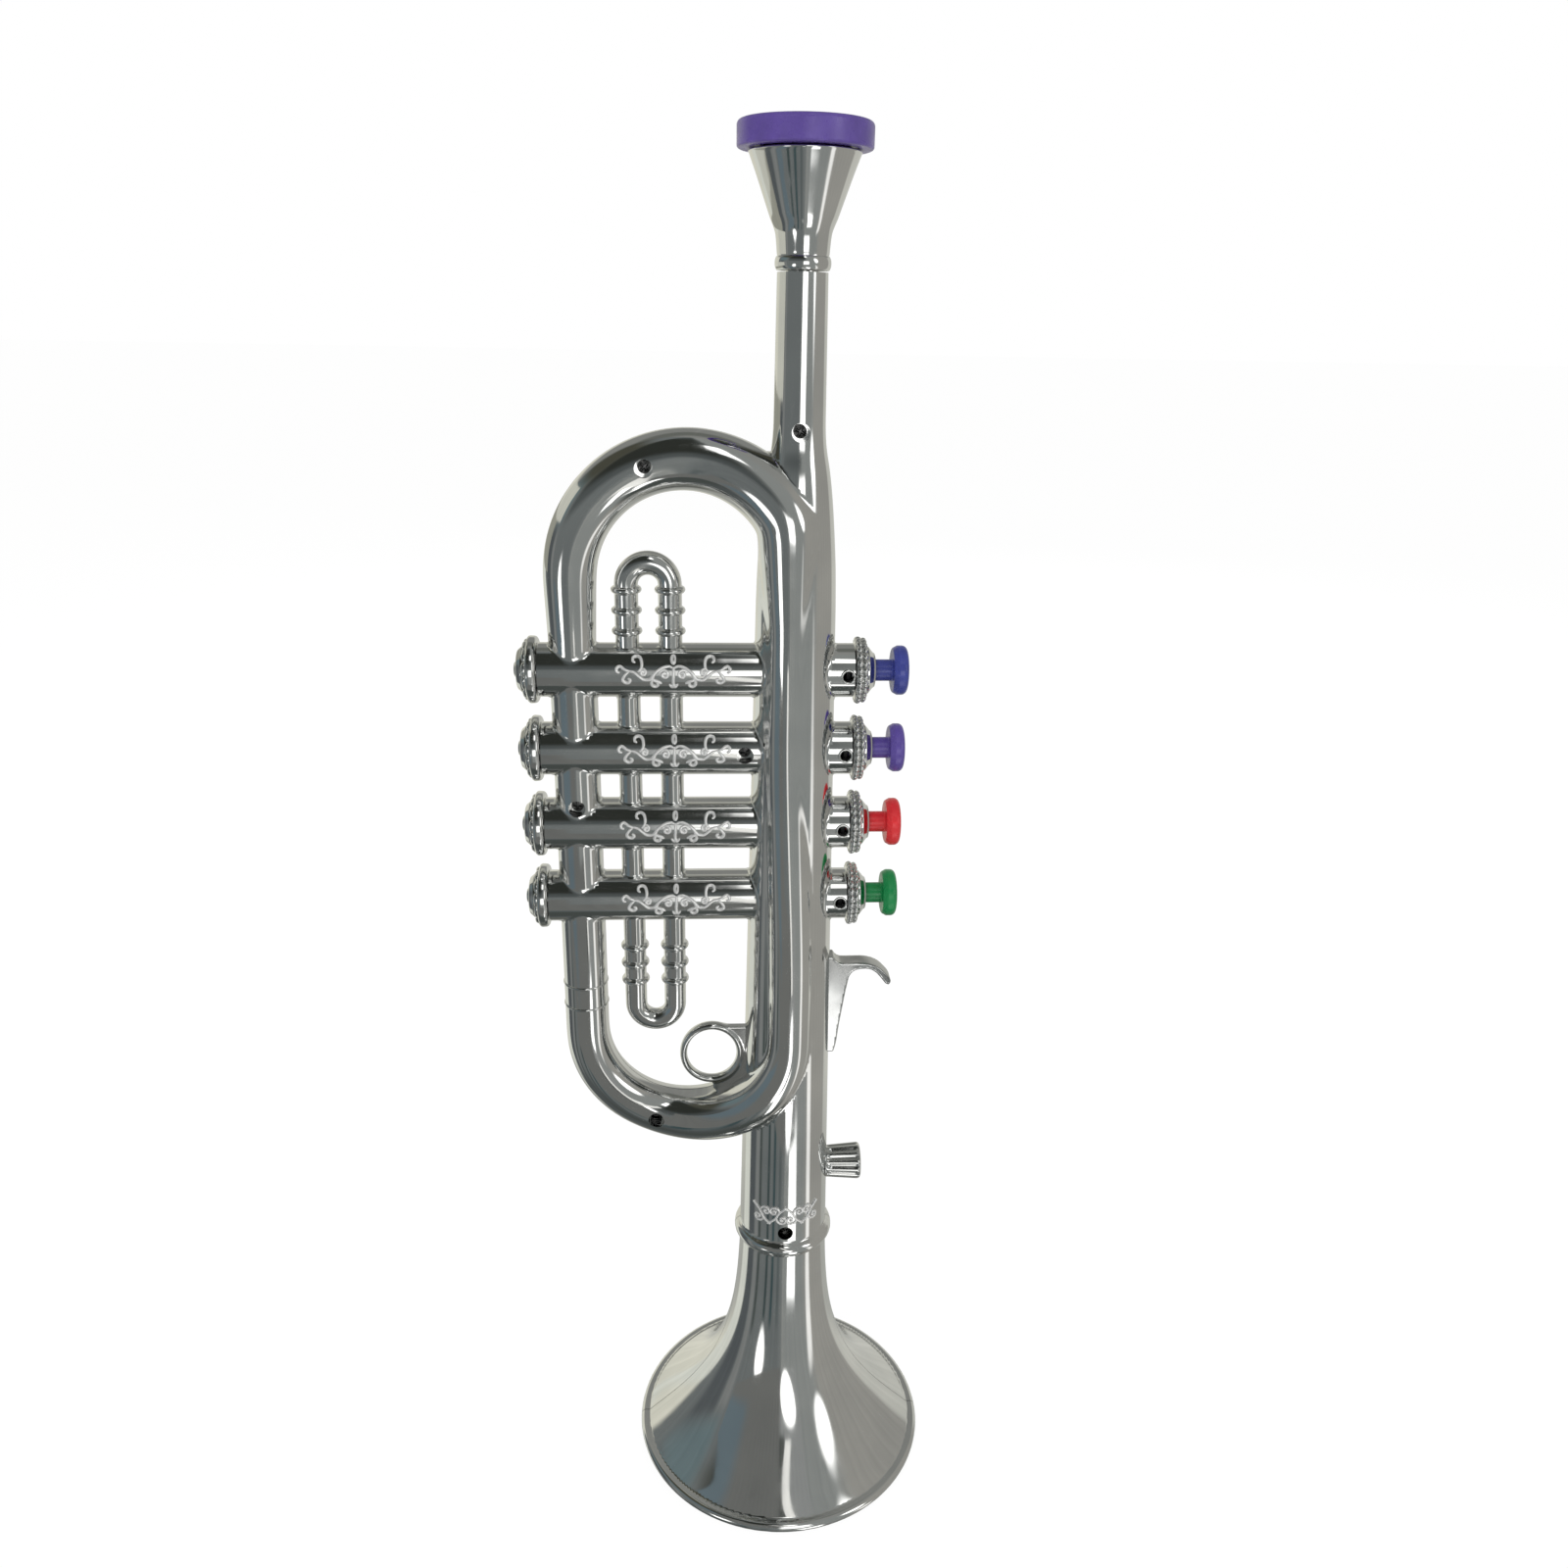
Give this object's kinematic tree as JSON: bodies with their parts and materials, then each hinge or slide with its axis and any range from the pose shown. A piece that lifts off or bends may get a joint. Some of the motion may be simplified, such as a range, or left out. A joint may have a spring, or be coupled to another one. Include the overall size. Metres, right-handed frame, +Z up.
{
  "type": "toy trumpet",
  "caption": "Upright chromed toy trumpet with a bell, a loop of tubing, spring keys that slide into their casings, a cup mouthpiece, a finger ring and a finger hook.",
  "frame": {"origin": "centre of the whole part's footprint box at the bell rim's plane", "axes": "+Z up the main tube from the bell to the mouthpiece, +X to the keys, -Y to the front with the screws"},
  "size_m": [0.1144, 0.0876, 0.3718],
  "materials": {
    "chrome_body": "vacuum-chromed moulded plastic, bright, with faint flow waves",
    "chrome_fittings": "vacuum-chromed moulded plastic, bright",
    "rim_purple": "glossy purple plastic",
    "key_blue": "glossy blue plastic",
    "key_violet": "glossy violet plastic",
    "key_red": "glossy red plastic",
    "key_green": "glossy green plastic",
    "inner_plastic": "plain unplated plastic",
    "pad_rubber": "soft black rubber",
    "spring_steel": "bright spring wire",
    "reed_brass": "bright brass sheet",
    "screw_steel": "dull zinc-plated steel"
  },
  "bodies": {
    "root": {"front_shell": "chrome_body", "back_shell": "chrome_body", "mouthpiece_cup": "chrome_body", "mouthpiece_rim": "rim_purple", "tuning_slide_upper": "chrome_fittings", "tuning_slide_lower": "chrome_fittings", "finger_ring": "chrome_fittings", "finger_hook": "chrome_fittings", "thumb_knob": "chrome_fittings", "reed_block": "inner_plastic", "reed_cover": "inner_plastic", "bottom_cap_1": "chrome_fittings", "key_collar_1": "chrome_fittings", "key_spring_1": "spring_steel", "reed_plate_1": "reed_brass", "bottom_cap_2": "chrome_fittings", "key_collar_2": "chrome_fittings", "key_spring_2": "spring_steel", "reed_plate_2": "reed_brass", "bottom_cap_3": "chrome_fittings", "key_collar_3": "chrome_fittings", "key_spring_3": "spring_steel", "reed_plate_3": "reed_brass", "bottom_cap_4": "chrome_fittings", "key_collar_4": "chrome_fittings", "key_spring_4": "spring_steel", "reed_plate_4": "reed_brass", "screw_1": "screw_steel", "screw_2": "screw_steel", "screw_3": "screw_steel", "screw_4": "screw_steel", "screw_5": "screw_steel", "screw_6": "screw_steel"},
    "key_1": {"key_1": "key_blue", "valve_pad_1": "pad_rubber"},
    "key_2": {"key_2": "key_violet", "valve_pad_2": "pad_rubber"},
    "key_3": {"key_3": "key_red", "valve_pad_3": "pad_rubber"},
    "key_4": {"key_4": "key_green", "valve_pad_4": "pad_rubber"}
  },
  "joints": [
    {"name": "key_1_press", "type": "slide", "parent": "root", "child": "key_1", "axis": [-1, 0, 0], "range_m": [0, 0.003], "stiffness_N_per_m": 150, "springref_m": -0.003, "deforming": ["key_spring_1"]},
    {"name": "key_2_press", "type": "slide", "parent": "root", "child": "key_2", "axis": [-1, 0, 0], "range_m": [0, 0.003], "stiffness_N_per_m": 150, "springref_m": -0.003, "deforming": ["key_spring_2"]},
    {"name": "key_3_press", "type": "slide", "parent": "root", "child": "key_3", "axis": [-1, 0, 0], "range_m": [0, 0.003], "stiffness_N_per_m": 150, "springref_m": -0.003, "deforming": ["key_spring_3"]},
    {"name": "key_4_press", "type": "slide", "parent": "root", "child": "key_4", "axis": [-1, 0, 0], "range_m": [0, 0.003], "stiffness_N_per_m": 150, "springref_m": -0.003, "deforming": ["key_spring_4"]}
  ]
}
